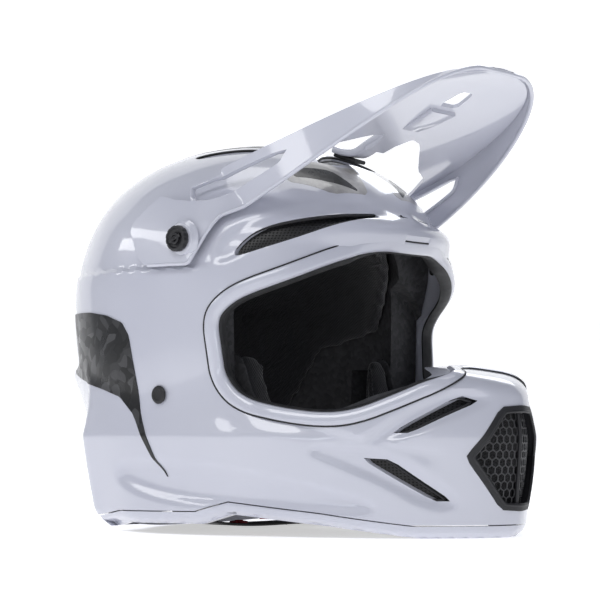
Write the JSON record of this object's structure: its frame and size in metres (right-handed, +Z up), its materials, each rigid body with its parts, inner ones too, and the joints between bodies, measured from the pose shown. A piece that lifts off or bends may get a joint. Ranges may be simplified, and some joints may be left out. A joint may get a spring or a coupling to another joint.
{
  "type": "motocross helmet",
  "caption": "Full-face motocross helmet with a long tilting visor, a jutting chin bar with a mesh mouth vent, foam liners, release cheek pads and a ring-fastened chin strap.",
  "frame": {"origin": "on the floor plane, under the middle of the helmet's length and width", "axes": "+X forward past the nose of the chin bar, +Y to the wearer's left, +Z up through the crown"},
  "size_m": [0.339, 0.2534, 0.2848],
  "materials": {
    "shell": "gloss",
    "black_plastic": "satin",
    "rubber": "matte",
    "metal": "satin",
    "filter_foam": "matte",
    "carbon": "gloss",
    "foam": "matte",
    "slip": "satin",
    "lining": "matte",
    "red_tab": "matte",
    "webbing": "matte"
  },
  "bodies": {
    "helmet": {"outer_shell": "shell", "base_trim": "shell", "eyeport_trim": "rubber", "visor_nut_left": "metal", "visor_nut_right": "metal", "mouth_vent_frame": "black_plastic", "mouth_vent_grille": "black_plastic", "mouth_vent_filter": "filter_foam", "chin_upper_vent_left": "black_plastic", "chin_upper_vent_right": "black_plastic", "chin_lower_vent_left": "black_plastic", "chin_lower_vent_right": "black_plastic", "brow_vent_left": "black_plastic", "brow_vent_right": "black_plastic", "crown_front_vent": "black_plastic", "crown_side_vent_left": "black_plastic", "crown_side_vent_right": "black_plastic", "rear_panel_left": "carbon", "rear_panel_right": "carbon", "crown_foam": "foam", "chin_foam": "foam", "slip_liner": "slip", "comfort_liner": "lining", "neck_roll": "lining", "strap_rivet_left": "black_plastic", "strap_rivet_right": "black_plastic", "strap_anchor_left": "metal", "strap_anchor_right": "metal", "chin_strap_ring_side": "webbing", "chin_strap_tail_side": "webbing", "strap_snap": "red_tab"},
    "visor_body": {"visor": "shell", "visor_bush_left": "black_plastic", "visor_bush_right": "black_plastic", "visor_foot_pad": "rubber"},
    "knob_left": {"visor_knob_left": "black_plastic"},
    "knob_right": {"visor_knob_right": "black_plastic"},
    "pad_left": {"cheek_pad_left": "lining", "cheek_pad_plate_left": "foam", "pull_tab_left": "red_tab"},
    "pad_right": {"cheek_pad_right": "lining", "cheek_pad_plate_right": "foam", "pull_tab_right": "red_tab"},
    "ring_upper": {"d_ring_upper": "metal"},
    "ring_lower": {"d_ring_lower": "metal"}
  },
  "joints": [
    {"name": "visor_tilt", "type": "hinge", "parent": "helmet", "child": "visor_body", "pos_m": [0.0035, 0, 0.179], "axis": [0, -1, 0], "range_deg": [0, 12]},
    {"name": "visor_knob_left_turn", "type": "hinge", "parent": "helmet", "child": "knob_left", "pos_m": [0.0035, 0, 0.179], "axis": [0, 1, 0], "range_deg": [-90, 90]},
    {"name": "visor_knob_right_turn", "type": "hinge", "parent": "helmet", "child": "knob_right", "pos_m": [0.0035, 0, 0.179], "axis": [0, 1, 0], "range_deg": [-90, 90]},
    {"name": "cheek_pad_left_release", "type": "slide", "parent": "helmet", "child": "pad_left", "axis": [0, 0, -1], "range_m": [0, 0.09]},
    {"name": "cheek_pad_right_release", "type": "slide", "parent": "helmet", "child": "pad_right", "axis": [0, 0, -1], "range_m": [0, 0.09]},
    {"name": "d_ring_upper_swing", "type": "hinge", "parent": "helmet", "child": "ring_upper", "pos_m": [-0.0155, 0.02, 0.0185], "axis": [-1, 0, 0], "range_deg": [0, 60]},
    {"name": "d_ring_lower_swing", "type": "hinge", "parent": "helmet", "child": "ring_lower", "pos_m": [-0.0155, 0.02, 0.009], "axis": [-1, 0, 0], "range_deg": [0, 36]}
  ],
  "couplings": [
    {"joint": "d_ring_lower_swing", "follows": "d_ring_upper_swing", "ratio": 0.6}
  ]
}
